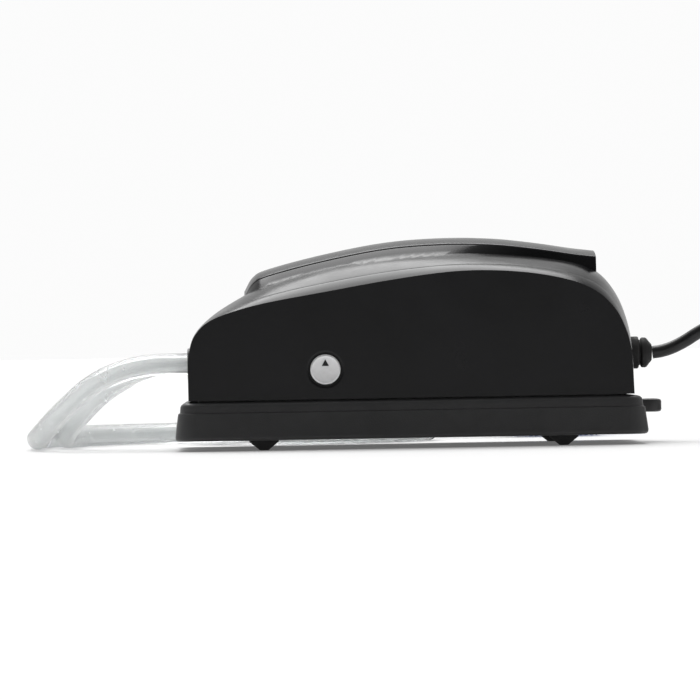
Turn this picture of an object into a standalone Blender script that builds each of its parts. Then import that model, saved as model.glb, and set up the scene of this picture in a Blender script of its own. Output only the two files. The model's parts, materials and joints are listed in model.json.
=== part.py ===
"""Twin-outlet aquarium air pump: housing, diaphragm drive, leads and air hoses.

Lengths in this file are in millimetres and are scaled to metres when a mesh is made.
+X points to the mains lead, -X to the air outlets, -Y to the side with the flow knob.
The origin is under the middle of the pump, on the surface that its feet stand on.
"""
from math import cos, pi, sin, sqrt

import bmesh
import bpy
from mathutils import Vector

MM = 0.001
GAP = 0.3                      # clearance between pieces that touch

# Housing
FOOT_HEIGHT = 2.8
BASE_LEFT = -67.0
BASE_RIGHT = 62.8
BASE_HALF_DEPTH = 37.0
BASE_CORNER = 6.0
BASE_TOP = 13.4
FLOOR_TOP = 4.8
SHELL_BOTTOM = 13.8
SHELL_INSET = 3.8              # how far the shell stands inside the base's outline
SHELL_HALF_DEPTH = BASE_HALF_DEPTH - SHELL_INSET
WALL = 2.2
RIB_HALF_WIDTH = 14.0
RIB_END = 50.3
CREASE_BEVEL = 1.4
LUG_TIP = 68.5
LUG_HALF_WIDTH = 8.0
LUG_Z = (8.4, 12.0)
LUG_SLOT = (65.5, 3.0, 8.0)       # middle, width and length of its slot
FILTER_X = -2.0

# Fixings
SCREW_X = (-55.6, 50.4)
SCREW_Y = 26.0
SCREW_R = 1.4
SCREW_HEAD_R = 2.6
FOOT_X = (-42.7, 39.6)
FOOT_Y = 29.0

# Flow knob
KNOB_X = -25.6
KNOB_Z = 21.9
KNOB_R = 4.15

# Diaphragm drive
AXIS_Z = 23.0                  # height of the arms, magnets and diaphragms
PIVOT_X = -48.4
ARM_INNER = 19.3
ARM_THICKNESS = 2.5
CHAMBER_X = (-42.0, -16.0)
DIAPHRAGM_X = -27.0
CORE_FRONT = 15.0
CORE_BACK = 47.0
CORE_HALF_DEPTH = 26.0
CORE_Z = (17.0, 29.0)

# Air outlets, hoses and mains lead
OUTLET_Y = 11.0
OUTLET_Z = 23.8
HOSE_D = 6.0
GLAND_Z = 25.0
LEAD_D = 3.6
HOSE_COIL = (-28.0, 77.0)      # centre of the coiled hoses
HOSE_COIL_R = {"rear": 26.9, "front": 33.2}
LEAD_COIL = (124.0, 17.6)      # centre of the coiled mains lead
LEAD_COIL_R = (14.0, 29.6)
LEAD_COIL_TOP = 7.5

COLOURS = {
    "black_gloss_plastic": ((0.012, 0.012, 0.013), 0.22, 0.0),
    "black_plastic": ((0.022, 0.022, 0.023), 0.45, 0.0),
    "rubber": ((0.015, 0.015, 0.015), 0.8, 0.0),
    "silver": ((0.75, 0.75, 0.76), 0.25, 1.0),
    "steel": ((0.55, 0.55, 0.56), 0.35, 1.0),
    "core_steel": ((0.30, 0.30, 0.32), 0.5, 1.0),
    "copper": ((0.72, 0.33, 0.16), 0.4, 1.0),
    "magnet": ((0.10, 0.10, 0.11), 0.5, 0.6),
    "white_plastic": ((0.75, 0.74, 0.70), 0.45, 0.0),
    "grey_rubber": ((0.20, 0.20, 0.20), 0.7, 0.0),
    "board_green": ((0.03, 0.20, 0.08), 0.5, 0.0),
    "felt": ((0.70, 0.70, 0.66), 0.95, 0.0),
    "clear_hose": ((0.80, 0.84, 0.84), 0.2, 0.0),
    "brass": ((0.70, 0.52, 0.22), 0.3, 1.0),
    "brown_wire": ((0.25, 0.10, 0.04), 0.5, 0.0),
    "blue_wire": ((0.04, 0.12, 0.45), 0.5, 0.0),
    "blue_stone": ((0.03, 0.13, 0.50), 0.9, 0.0),
}


def clear_scene():
    for item in list(bpy.data.objects):
        bpy.data.objects.remove(item, do_unlink=True)


def material(slot):
    found = bpy.data.materials.get(slot)
    if found:
        return found
    colour, roughness, metallic = COLOURS[slot]
    made = bpy.data.materials.new(slot)
    made.use_nodes = True
    shader = made.node_tree.nodes["Principled BSDF"]
    shader.inputs["Base Color"].default_value = (*colour, 1.0)
    shader.inputs["Roughness"].default_value = roughness
    shader.inputs["Metallic"].default_value = metallic
    return made


def place(name, mesh, slot, at=(0, 0, 0)):
    """Make an object of a mesh in millimetres, with its origin at the point `at`."""
    for vertex in mesh.vertices:
        vertex.co = (vertex.co - Vector(at)) * MM
    made = bpy.data.objects.new(name, mesh)
    made.location = Vector(at) * MM
    bpy.context.collection.objects.link(made)
    if slot:
        mesh.materials.append(material(slot))
    return made


def mesh_of(name, points, faces):
    mesh = bpy.data.meshes.new(name)
    mesh.from_pydata([tuple(p) for p in points], [], faces)
    shaping = bmesh.new()
    shaping.from_mesh(mesh)
    bmesh.ops.recalc_face_normals(shaping, faces=shaping.faces)
    shaping.to_mesh(mesh)
    shaping.free()
    return mesh


def loft(name, loops, slot, at=(0, 0, 0), smooth=False):
    """A closed solid through loops of equal length, with its two ends filled."""
    count = len(loops[0])
    points = [p for loop in loops for p in loop]
    faces = [tuple(range(count))]
    for row in range(len(loops) - 1):
        for i in range(count):
            j = (i + 1) % count
            low = row * count
            high = low + count
            faces.append((low + i, low + j, high + j, high + i))
    last = (len(loops) - 1) * count
    faces.append(tuple(range(last, last + count)))
    mesh = mesh_of(name, points, faces)
    if smooth:
        mesh.shade_smooth()
        mesh.set_sharp_from_angle(angle=pi / 5)
    return place(name, mesh, slot, at)


def box(name, low, high, slot, at=(0, 0, 0)):
    corners = [(low[0], low[1]), (high[0], low[1]), (high[0], high[1]), (low[0], high[1])]
    return loft(name, [[(x, y, z) for x, y in corners] for z in (low[2], high[2])], slot, at)


def turned(name, profile, centre, axis, slot, segments=24, at=(0, 0, 0)):
    """A solid of revolution. The profile holds (radius, distance along the axis) pairs."""
    along = "xyz".index(axis)
    across = [i for i in range(3) if i != along]
    loops = []
    for radius, distance in profile:
        loop = []
        for i in range(segments):
            angle = 2 * pi * i / segments
            point = list(centre)
            point[along] += distance
            point[across[0]] += radius * cos(angle)
            point[across[1]] += radius * sin(angle)
            loop.append(tuple(point))
        loops.append(loop)
    return loft(name, loops, slot, at, smooth=True)


def closed_turning(name, section, centre, axis, slot, segments, at=(0, 0, 0)):
    """A closed section in (radius, distance) pairs, turned once round an axis."""
    along = "xyz".index(axis)
    across = [i for i in range(3) if i != along]
    points = []
    for i in range(segments):
        angle = 2 * pi * i / segments
        for radius, distance in section:
            point = list(centre)
            point[along] += distance
            point[across[0]] += radius * cos(angle)
            point[across[1]] += radius * sin(angle)
            points.append(tuple(point))
    count = len(section)
    faces = []
    for i in range(segments):
        here = count * i
        there = count * ((i + 1) % segments)
        for k in range(count):
            n = (k + 1) % count
            faces.append((here + k, here + n, there + n, there + k))
    mesh = mesh_of(name, points, faces)
    mesh.shade_smooth()
    mesh.set_sharp_from_angle(angle=pi / 5)
    return place(name, mesh, slot, at)


def flat_ring(name, inner, outer, top, centre, slot):
    """A ring of square section that lies on the floor."""
    section = [(inner, 0.05), (outer, 0.05), (outer, top), (inner, top)]
    return closed_turning(name, section, (*centre, 0), "z", slot, 40)


def extruded(name, outline, low, high, slot, at=(0, 0, 0)):
    """An outline in the XY plane, drawn upwards from one height to another."""
    return loft(name, [[(x, y, z) for x, y in outline] for z in (low, high)], slot, at)


def combine(target, tool, operation):
    tool.hide_render = True
    tool.display_type = "WIRE"
    change = target.modifiers.new(f"{operation.lower()}_{tool.name}", "BOOLEAN")
    change.operation = operation
    change.solver = "EXACT"
    change.object = tool


def cut(target, tool):
    combine(target, tool, "DIFFERENCE")


def fuse(target, tool):
    combine(target, tool, "UNION")


def bevel(target, width, segments=2):
    edge = target.modifiers.new("edge_bevel", "BEVEL")
    edge.width = width * MM
    edge.segments = segments
    edge.limit_method = "ANGLE"
    edge.angle_limit = pi / 6
    edge.harden_normals = False


def smooth_through(points, steps):
    """Points on a smooth curve through the given ones, steps to each stretch."""
    padded = [2 * Vector(points[0]) - Vector(points[1])]
    padded += [Vector(p) for p in points]
    padded += [2 * Vector(points[-1]) - Vector(points[-2])]
    curve = []
    for i in range(1, len(padded) - 2):
        a, b, c, d = padded[i - 1:i + 3]
        for k in range(steps):
            t = k / steps
            linear = (c - a) * t
            square = (2 * a - 5 * b + 4 * c - d) * t * t
            cube = (3 * b - a - 3 * c + d) * t ** 3
            curve.append(b + (linear + square + cube) / 2)
    curve.append(padded[-2])
    return curve


def evenly(points, spacing):
    """The same line, read again at points an even distance apart."""
    runs = [0.0]
    for a, b in zip(points, points[1:]):
        runs.append(runs[-1] + (b - a).length)
    count = max(2, round(runs[-1] / spacing))
    even = []
    i = 0
    for k in range(count + 1):
        goal = runs[-1] * k / count
        while i < len(runs) - 2 and runs[i + 1] < goal:
            i += 1
        share = (goal - runs[i]) / (runs[i + 1] - runs[i])
        even.append(points[i].lerp(points[i + 1], min(max(share, 0.0), 1.0)))
    return even


def tube(name, route, diameter, slot, spacing=2.5, resolution=2):
    """A solid round tube whose centreline is a smooth curve through the route."""
    line = evenly(smooth_through(route, 12), spacing * diameter)
    shape = bpy.data.curves.new(name, "CURVE")
    shape.dimensions = "3D"
    shape.bevel_depth = diameter / 2 * MM
    shape.bevel_resolution = resolution
    shape.use_fill_caps = True
    spline = shape.splines.new("POLY")
    spline.points.add(len(line) - 1)
    for point, position in zip(spline.points, line):
        point.co = (*(position * MM), 1.0)
    shape.materials.append(material(slot))
    made = bpy.data.objects.new(name, shape)
    bpy.context.collection.objects.link(made)
    return made


def rounded_rectangle(left, right, half_depth, radius, steps=4):
    outline = []
    centres = [(right - radius, half_depth - radius, 0), (left + radius, half_depth - radius, 1),
               (left + radius, radius - half_depth, 2), (right - radius, radius - half_depth, 3)]
    for x, y, quarter in centres:
        for k in range(steps + 1):
            angle = pi / 2 * (quarter + k / steps)
            outline.append((x + radius * cos(angle), y + radius * sin(angle)))
    return outline


def base_loop(inset, z):
    outline = rounded_rectangle(BASE_LEFT + inset, BASE_RIGHT - inset, BASE_HALF_DEPTH - inset,
                                max(BASE_CORNER - inset, 0.8))
    return [(x, y, z) for x, y in outline]


# ---------------------------------------------------------------- housing

# Side view of the shell, in X and in height above the underside of the base. The flat side walls
# end on the crease line, and the top bulges up to the crown line between them.
CREASE_LINE = [(-63.2, 11), (-63.2, 20), (-62.7, 25), (-61.2, 29), (-57.8, 32.4), (-52, 34.9),
               (-42, 37.5), (-25, 40.4), (-8, 43.2), (8, 45.2), (20, 45.5), (32, 44.5),
               (42, 42.4), (48.9, 39.4), (53.5, 35.2), (56.3, 30.4), (58.3, 23.5), (58.95, 11)]
CROWN_LINE = [(-63.4, 11), (-63.4, 20), (-62.9, 25.5), (-60.9, 30.2), (-55.9, 34.9), (-49, 39.2),
              (-39.8, 43.7), (-25, 48.0), (-8, 50.6), (8, 51.3), (20, 50.9), (32, 49.9),
              (43.3, 48.2), (50.6, 45.2), (55.4, 39.6), (58.3, 32.6), (59.7, 24.5), (60.0, 11)]
TOP_SECTION = [(0.0, 0.0), (1.6, 0.16), (3.2, 0.28), (4.4, 0.34), (4.85, 0.24), (5.3, 0.36), (6.2, 0.40),
               (12.0, 0.72), (19.0, 0.93), (26.0, 0.99), (SHELL_HALF_DEPTH, 1.0)]
RIB_LINE = [(-47.5, 41.2), (-45, 45.2), (-40.5, 47.4), (-25, 51.2), (-8, 54.2), (8, 55.2), (22, 54.8),
            (34, 53.4), (44, 51.8), (RIB_END, 51.0)]


def between(a, b, share):
    return tuple(p + (q - p) * share for p, q in zip(a, b))


def section_columns():
    """Every column across the top as (y, share of the rise), from -Y to +Y."""
    near = [(inset - SHELL_HALF_DEPTH, share) for inset, share in TOP_SECTION]
    far = [(-y, share) for y, share in reversed(near[:-1])]
    return near + far


def side_curve(line, steps=2):
    return [(p.x, p.y + FOOT_HEIGHT) for p in smooth_through([(x, z, 0) for x, z in line], steps)]


def shell_body(name, thickness, low, slot):
    """The outer form of the shell, or with a thickness the hollow inside it."""
    crease = side_curve(CREASE_LINE)
    crown = side_curve(CROWN_LINE)
    middle = (BASE_LEFT + BASE_RIGHT) / 2
    loops = []
    for y, share in section_columns():
        loop = []
        for edge, top in zip(crease, crown):
            x, z = between(edge, top, share if not thickness else min(share, 0.6))
            if thickness:
                half = (BASE_RIGHT - BASE_LEFT) / 2 - SHELL_INSET
                x = middle + (x - middle) * (half - thickness) / half
                z = z - thickness if z > SHELL_BOTTOM + 5 else z
            loop.append((x, y * (SHELL_HALF_DEPTH - thickness) / SHELL_HALF_DEPTH, max(z, low)))
        loop[0] = (loop[0][0], loop[0][1], low)
        loop[-1] = (loop[-1][0], loop[-1][1], low)
        loops.append(loop)
    return loft(name, loops, slot)


def top_rib():
    """The raised strip along the middle of the top, cut off square at its right-hand end.

    Its sides slope gently at the left and grow steep towards the right.
    """
    loops = []
    for x, z in side_curve(RIB_LINE):
        half = RIB_HALF_WIDTH * min(1.0, 0.55 + 0.45 * (x + 52) / 12)
        share = min(max((x - 2) / 34, 0.0), 1.0)
        foot = half + 0.6 + 5.4 * (1 - share * share * (3 - 2 * share))
        side = [(foot, z - 6.5), (half, z - 2.2), (half - 0.5, z - 1.7)]
        loops.append([(y, height) for y, height in side + [(half / 2, z - 0.1)]])
    solid = []
    for (x, _), half_loop in zip(side_curve(RIB_LINE), loops):
        loop = half_loop + [(-y, height) for y, height in reversed(half_loop)]
        solid.append([(x, y, height) for y, height in loop])
    return loft("rib_form", solid, None)


def upper_shell():
    shell = shell_body("upper_shell", 0.0, SHELL_BOTTOM, "black_gloss_plastic")
    bevel(shell, CREASE_BEVEL)
    shell.modifiers["edge_bevel"].angle_limit = pi / 3.2
    fuse(shell, top_rib())
    for i, y in enumerate((-OUTLET_Y, OUTLET_Y)):
        boss = turned(f"outlet_boss_form_{i}", [(4.5, 1.4), (4.5, 2.9), (5.4, 3.6), (5.4, 6)],
                      (-65.0, y, OUTLET_Z), "x", None)
        fuse(shell, boss)
    cut(shell, shell_body("shell_hollow", WALL, SHELL_BOTTOM - 2, None))
    for i, x in enumerate(SCREW_X):
        for j, y in enumerate((-SCREW_Y, SCREW_Y)):
            top = 34.0 if x < 0 else 38.0
            post = turned(f"screw_post_form_{i}{j}", [(2.9, 13.7), (2.9, top)], (x, y, 0), "z", None, 12)
            fuse(shell, post)
            pilot = turned(f"pilot_hole_form_{i}{j}", [(SCREW_R + GAP, 12), (SCREW_R + GAP, 26)],
                           (x, y, 0), "z", None, 12)
            cut(shell, pilot)
    for i, y in enumerate((-OUTLET_Y, OUTLET_Y)):
        hole = turned(f"outlet_hole_form_{i}", [(3.6, 0), (3.6, 12)], (-68, y, OUTLET_Z), "x", None, 20)
        cut(shell, hole)
    gland = turned("gland_hole_form", [(3.7, 0), (3.7, 14)], (50, 0, GLAND_Z), "x", None, 20)
    cut(shell, gland)
    recess = turned("knob_recess_form", [(KNOB_R + 0.7, 0), (KNOB_R + 0.7, 1.9)],
                    (KNOB_X, -SHELL_HALF_DEPTH - 1, KNOB_Z), "y", None)
    cut(shell, recess)
    shaft_hole = turned("shaft_hole_form", [(2.2, 0), (2.2, 6)],
                        (KNOB_X, -SHELL_HALF_DEPTH - 1, KNOB_Z), "y", None, 16)
    cut(shell, shaft_hole)


def base_tray():
    floor_inset = 2.4
    stack = [(0.8, FOOT_HEIGHT), (0.0, FOOT_HEIGHT + 0.8), (1.2, 12.3), (3.2, BASE_TOP),
             (SHELL_INSET + WALL + 0.4, BASE_TOP), (SHELL_INSET + WALL + 0.4, 15.6),
             (SHELL_INSET + WALL + 1.7, 15.6), (SHELL_INSET + WALL + 1.7, 12.2),
             (floor_inset + 1.0, 10.6), (floor_inset, FLOOR_TOP)]
    base = loft("base_tray", [base_loop(inset, z) for inset, z in stack], "black_plastic")
    fuse(base, extruded("lug_form", lug_outline(), *LUG_Z, None))
    middle, width, length = LUG_SLOT
    slot_outline = rounded_rectangle(middle - width / 2, middle + width / 2, length / 2, 1.4, 3)
    slot = extruded("lug_slot_form", slot_outline, LUG_Z[0] - 1, LUG_Z[1] + 1, None)
    cut(base, slot)
    supports = {
        "arm_post": [((-52, side * 17), (-45, side * 24), 16.7) for side in (-1, 1)],
        "chamber_post": [((CHAMBER_X[0], side * 2), (-24, side * 11.8), 11.7) for side in (-1, 1)],
        "core_post": [((39.4, side * 18), (46.5, side * 25.5), CORE_Z[0] - GAP) for side in (-1, 1)],
    }
    for label, posts in supports.items():
        for i, (a, b, top) in enumerate(posts):
            low = (a[0], min(a[1], b[1]), FLOOR_TOP - 1)
            high = (b[0], max(a[1], b[1]), top)
            fuse(base, box(f"{label}_form_{i}", low, high, None))
    well = turned("filter_well_form", [(15, FLOOR_TOP - 1), (15, 9.4)], (FILTER_X, 0, 0), "z", None, 32)
    fuse(base, well)
    pocket = turned("filter_pocket_form", [(13, FOOT_HEIGHT - 1), (13, 7.9)], (FILTER_X, 0, 0), "z", None, 32)
    cut(base, pocket)
    inlet = turned("inlet_form", [(3, 7), (3, 11)], (FILTER_X, 0, 0), "z", None, 16)
    cut(base, inlet)
    for i, x in enumerate(SCREW_X):
        for j, y in enumerate((-SCREW_Y, SCREW_Y)):
            column = turned(f"screw_column_form_{i}{j}", [(4.0, FLOOR_TOP - 1), (4.0, BASE_TOP)],
                            (x, y, 0), "z", None, 12)
            fuse(base, column)
            bore = turned(f"screw_bore_form_{i}{j}",
                          [(SCREW_HEAD_R + GAP, 1), (SCREW_HEAD_R + GAP, 6.0),
                           (SCREW_R + GAP, 6.0), (SCREW_R + GAP, 16)], (x, y, 0), "z", None, 16)
            cut(base, bore)
    for i, x in enumerate(FOOT_X):
        for j, y in enumerate((-FOOT_Y, FOOT_Y)):
            hole = turned(f"foot_hole_form_{i}{j}", [(1.9, 1), (1.9, 6)], (x, y, 0), "z", None, 16)
            cut(base, hole)


def lug_outline():
    """Plan of the hanging lug, a tongue with rounded outer corners."""
    corner = 3.5
    outline = [(57.5, -LUG_HALF_WIDTH)]
    for side in (-1, 1):
        for k in range(5):
            angle = pi / 8 * (k if side > 0 else k - 4)
            x = LUG_TIP - corner + corner * cos(angle)
            outline.append((x, side * (LUG_HALF_WIDTH - corner) + corner * sin(angle)))
    outline.append((57.5, LUG_HALF_WIDTH))
    return outline


def feet_and_screws():
    profile = [(1.2, 0), (4.1, 2.1), (4.1, FOOT_HEIGHT - GAP), (1.5, FOOT_HEIGHT - GAP),
               (1.5, FLOOR_TOP + GAP), (2.7, FLOOR_TOP + GAP), (1.2, 7.2)]
    number = 0
    for x in FOOT_X:
        for y in (-FOOT_Y, FOOT_Y):
            number += 1
            turned(f"rubber_foot_{number}", profile, (x, y, 0), "z", "rubber", 20)
    screw = [(SCREW_HEAD_R, 3.6), (SCREW_HEAD_R, 5.0), (SCREW_R, 5.6), (SCREW_R, 22.0), (0.5, 23.4)]
    number = 0
    for x in SCREW_X:
        for y in (-SCREW_Y, SCREW_Y):
            number += 1
            made = turned(f"housing_screw_{number}", screw, (x, y, 0), "z", "steel", 16)
            for k, (across, along) in enumerate(((0.35, 1.7), (1.7, 0.35))):
                drive = box(f"drive_form_{number}{k}", (x - across, y - along, 3),
                            (x + across, y + along, 4.4), None)
                cut(made, drive)


def air_filter():
    turned("filter_felt", [(12.6, 4.7), (12.6, 7.5)], (FILTER_X, 0, 0), "z", "felt", 32)
    cover = turned("filter_cover", [(12.3, 2.9), (12.6, 3.3), (12.6, 4.4)], (FILTER_X, 0, 0),
                   "z", "black_plastic", 32)
    for i in range(5):
        y = 3.6 * (i - 2)
        half = sqrt(11.0 ** 2 - y ** 2) - 1.5
        slit = box(f"filter_slit_form_{i}", (FILTER_X - half, y - 0.8, 2),
                   (FILTER_X + half, y + 0.8, 5), None)
        cut(cover, slit)


# ---------------------------------------------------------------- flow control

def flow_control():
    face = -SHELL_HALF_DEPTH
    axis = (KNOB_X, face, KNOB_Z)
    knob = turned("flow_knob", [(1.3, 0.3), (KNOB_R, 0.3), (KNOB_R, -0.5), (KNOB_R - 0.4, -0.9),
                                (0.8, -0.9)], axis, "y", "silver", 32, at=axis)
    pointer = extruded_y("pointer_form", [(-0.9, 1.2), (0.9, 1.2), (0, 3.0)], face - 2, face - 0.6)
    cut(knob, pointer)
    arc = [(2.3 * cos(a), -1.9 + 1.9 * sin(a)) for a in (pi * k / 8 for k in range(1, 8))]
    arc += [(1.6 * cos(a), -1.9 + 1.2 * sin(a)) for a in (pi * k / 8 for k in range(7, 0, -1))]
    cut(knob, extruded_y("grip_form", arc, face - 2, face - 0.6))
    turned("knob_shaft", [(1.3, 0.7), (1.3, 2.0), (1.7, 2.0), (1.7, 3.6)], axis, "y", "brass", 16, at=axis)
    dial = turned("dial_resistor", [(5.6, 4.0), (5.6, 7.0)], axis, "y", "white_plastic", 24)
    leg = box("resistor_foot_form", (KNOB_X - 4, face + 4.4, KNOB_Z - 9),
              (KNOB_X + 4, face + 6.6, KNOB_Z), None)
    fuse(dial, leg)
    board = box("circuit_board", (-41, face + 7.4, 12.5), (-12, face + 8.8, 31), "board_green")
    bevel(board, 0.3, 1)


def extruded_y(name, outline, low, high):
    """An outline around the knob's axis, in X and Z, drawn along Y."""
    return loft(name, [[(KNOB_X + x, y, KNOB_Z + z) for x, z in outline] for y in (low, high)], None)


# ---------------------------------------------------------------- diaphragm drive

def electromagnet():
    outline = [(CORE_FRONT, -CORE_HALF_DEPTH), (CORE_BACK, -CORE_HALF_DEPTH),
               (CORE_BACK, CORE_HALF_DEPTH), (CORE_FRONT, CORE_HALF_DEPTH), (CORE_FRONT, 18),
               (39, 18), (39, 6), (CORE_FRONT, 6), (CORE_FRONT, -6), (39, -6), (39, -18),
               (CORE_FRONT, -18)]
    core = extruded("laminated_core", outline, *CORE_Z, "core_steel")
    for number, y in enumerate((-20.5, 20.5), 1):
        hole = turned(f"core_hole_form_{number}", [(2.3, 10), (2.3, 40)], (43, y, 0), "z", None, 16)
        cut(core, hole)
        turned(f"core_screw_{number}", [(2.0, CORE_Z[0] + 0.2), (2.0, CORE_Z[1] + GAP),
                                        (3.6, CORE_Z[1] + GAP), (3.6, CORE_Z[1] + 2.0),
                                        (2.6, CORE_Z[1] + 2.6)], (43, y, 0), "z", "steel", 16)
    middle = sum(CORE_Z) / 2
    rise = (CORE_Z[1] - CORE_Z[0]) / 2
    bobbin = box("coil_bobbin", (18, -7.4, middle - rise - 1.4), (38.6, 7.4, middle + rise + 1.4),
                 "white_plastic")
    for i, x in enumerate((18, 37.4)):
        cheek = box(f"cheek_form_{i}", (x, -17.2, middle - 15), (x + 1.2, 17.2, middle + 15), None)
        fuse(bobbin, cheek)
    leg_hole = box("leg_hole_form", (10, -6.3, CORE_Z[0] - GAP), (45, 6.3, CORE_Z[1] + GAP), None)
    cut(bobbin, leg_hole)
    coil = box("coil_winding", (19.5, -16.2, middle - 14), (37.1, 16.2, middle + 14), "copper")
    bevel(coil, 2.5, 3)
    space = box("winding_hole_form", (15, -7.7, middle - rise - 1.7), (42, 7.7, middle + rise + 1.7), None)
    cut(coil, space)


def pump_unit(number, side):
    """One of the two mirrored drives: arm, magnet, diaphragm, chamber and valves."""
    def span(a, b):
        return (a, b) if side > 0 else (-b, -a)

    def block(name, x, y, z, slot, at=(0, 0, 0)):
        low_y, high_y = span(*y)
        return box(name, (x[0], low_y, z[0]), (x[1], high_y, z[1]), slot, at)

    pivot = (PIVOT_X, side * (ARM_INNER + ARM_THICKNESS / 2), AXIS_Z)
    arm = block(f"swing_arm_{number}", (PIVOT_X - 2.3, 13.6), (ARM_INNER, ARM_INNER + ARM_THICKNESS),
                (18.5, 27.5), "black_plastic", pivot)
    stud_hole = turned(f"stud_hole_form_{number}", [(1.8, 15), (1.8, 26)] if side > 0 else
                       [(1.8, -26), (1.8, -15)], (DIAPHRAGM_X, 0, AXIS_Z), "y", None, 16)
    cut(arm, stud_hole)
    magnet = block(f"arm_magnet_{number}", (6.4, 13.4), (6.2, ARM_INNER - GAP), (17, 29), "magnet", pivot)
    bevel(magnet, 0.4, 1)
    socket = block(f"arm_socket_{number}", (PIVOT_X - 4, PIVOT_X + 4), (16.8, 24.3), (17, 29), "rubber")
    groove = block(f"socket_groove_form_{number}", (PIVOT_X - 2.6, PIVOT_X + 6),
                   (ARM_INNER - GAP, ARM_INNER + ARM_THICKNESS + GAP), (18.2, 35), None)
    cut(socket, groove)

    profile = [(1.5, 13.2), (3.8, 13.4), (3.8, 14.3), (1.5, 14.3), (1.5, 18.2), (4.6, 18.2),
               (4.6, ARM_INNER - GAP), (1.5, ARM_INNER - GAP), (1.5, 22.1), (2.8, 22.1), (2.8, 23.0),
               (1.0, 23.4)]
    turned(f"diaphragm_stud_{number}", [(r, side * d) for r, d in profile],
           (DIAPHRAGM_X, 0, AXIS_Z), "y", "steel", 16, at=pivot)
    cup = [(12.0, 12.3), (12.0, 13.6), (9.8, 13.6), (8.2, 17.2), (2.2, 17.2), (2.2, 16.0), (7.3, 16.0),
           (8.8, 12.3)]
    closed_turning(f"diaphragm_{number}", [(r, side * d) for r, d in cup],
                   (DIAPHRAGM_X, 0, AXIS_Z), "y", "rubber", 24)

    chamber = block(f"pump_chamber_{number}", CHAMBER_X, (4.8, 12.0), (12, 34), "white_plastic")
    throat = turned(f"throat_form_{number}", [(7.6, side * 9.5), (7.6, side * 13)],
                    (DIAPHRAGM_X, 0, AXIS_Z), "y", None, 20)
    cut(chamber, throat)
    for label, x in (("outlet", -34.0), ("inlet", -21.5)):
        pocket = turned(f"{label}_pocket_form_{number}", [(4.0, side * 4.0), (4.0, side * 7.2)],
                        (x, 0, AXIS_Z), "y", None, 16)
        cut(chamber, pocket)
        port = turned(f"{label}_port_form_{number}", [(1.4, side * 5.0), (1.4, side * 11.0)],
                      (x + (2.0 if label == "outlet" else -0.5), 0, AXIS_Z), "y", None, 10)
        cut(chamber, port)
        turned(f"{label}_flap_{number}", [(3.6, side * 5.6), (3.6, side * 6.6)], (x, 0, AXIS_Z), "y",
               "grey_rubber", 20)
    nipple = turned(f"nipple_form_{number}", [(2.2, 0), (2.2, 5), (2.2, 9)], (-47, side * 8.4, AXIS_Z),
                    "x", None, 14)
    fuse(chamber, nipple)
    block(f"chamber_cover_{number}", CHAMBER_X, (2.2, 4.5), (12, 34), "white_plastic")
    tube(f"air_tube_{number}", [(-47.3, side * 8.4, AXIS_Z), (-49.5, side * 8.6, AXIS_Z + 0.1),
                                (-51.6, side * 10.2, AXIS_Z + 0.5), (-53.4, side * OUTLET_Y, OUTLET_Z),
                                (-54.3, side * OUTLET_Y, OUTLET_Z)],
         5.0, "grey_rubber", 0.4, 3)
    barb = [(1.8, -59.6), (2.2, -58.6), (2.2, -57.6), (3.2, -57.6), (3.2, -56.4), (2.2, -56.4),
            (2.2, -54.7)]
    turned(f"outlet_nozzle_{number}", barb, (0, side * OUTLET_Y, OUTLET_Z), "x", "black_plastic", 16)


# ---------------------------------------------------------------- leads and hoses

# Routes between the ends of each lead or hose and its coil, as centreline points.
LEAD_ROUTE = [(66.6, 0, 25.0), (69, -0.1, 25.3), (72, -0.6, 26.2), (75.5, -1.4, 27.9), (79.5, -2.8, 30.4),
              (84, -4.5, 32.8), (89.5, -6.7, 34.0), (93.9, -8.2, 33.4), (98.1, -9.3, 31.5),
              (101.7, -9.9, 28.5), (104.5, -10, 24.7), (106.1, -10, 20.3), (106.8, -10, 15.6),
              (108.4, -10, 11.4)]
HOSE_ROUTES = {
    "front": [(-60, -11, 23.8), (-67, -11, 24.1), (-75, -10.8, 24.1), (-83, -9.6, 22.3),
              (-90.5, -6.5, 18.3), (-97.2, -1, 12.8), (-102.8, 8, 7.6), (-106.2, 20, 4.2),
              (-107.6, 34, 3.15), (-107.4, 51, 3.1), (-104.2, 68, 3.1), (-97, 84, 3.1),
              (-85.4, 97.6, 3.1), (-71, 106.6, 3.1)],
    "rear": [(-60, 11, 23.8), (-67, 11, 23.9), (-74.4, 11.8, 23.0), (-81.8, 14.2, 20.2),
             (-88.6, 18.6, 15.8), (-94.2, 25, 10.6), (-98.2, 33.6, 6.2), (-99.9, 43, 3.7),
             (-99.4, 54, 3.1), (-96, 66, 3.1), (-89.6, 78, 3.1), (-80.4, 88.6, 3.1),
             (-69.4, 96.6, 3.1)],
}
TAIL_ROUTES = {
    "front": [(-46, 105.9, 9.6), (-36, 109.6, 9.6), (-25, 112.4, 9.6), (-13, 115.2, 9.2),
              (-1, 118.4, 8.0), (9, 121.2, 7.2), (17, 122.8, 7.05), (24, 123.2, 7.05)],
    "rear": [(-46, 98.2, 9.6), (-36, 101.6, 9.6), (-25, 103.4, 9.6), (-13, 104.2, 9.6),
             (-1, 105.0, 9.4), (9, 105.9, 8.0), (18, 106.4, 7.2), (27, 106.6, 7.05)],
}
LEAD_TAIL = [(120, -7, 9.5), (126.5, -7.4, 9.5), (133.4, -5.4, 10.0), (139.2, -0.4, 11.2),
             (142.6, 6.6, 12.8), (143.6, 13.6, 14.1), (143.6, 19.0, 14.4)]
PLUG_BACK = (143.6, 19.6, 14.4)
PLUG_BODY = (30.0, 25.0, 13.0)  # length, width and thickness
BLADE = (17.2, 1.5, 6.3)
BLADE_SPACING = 12.7


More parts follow.
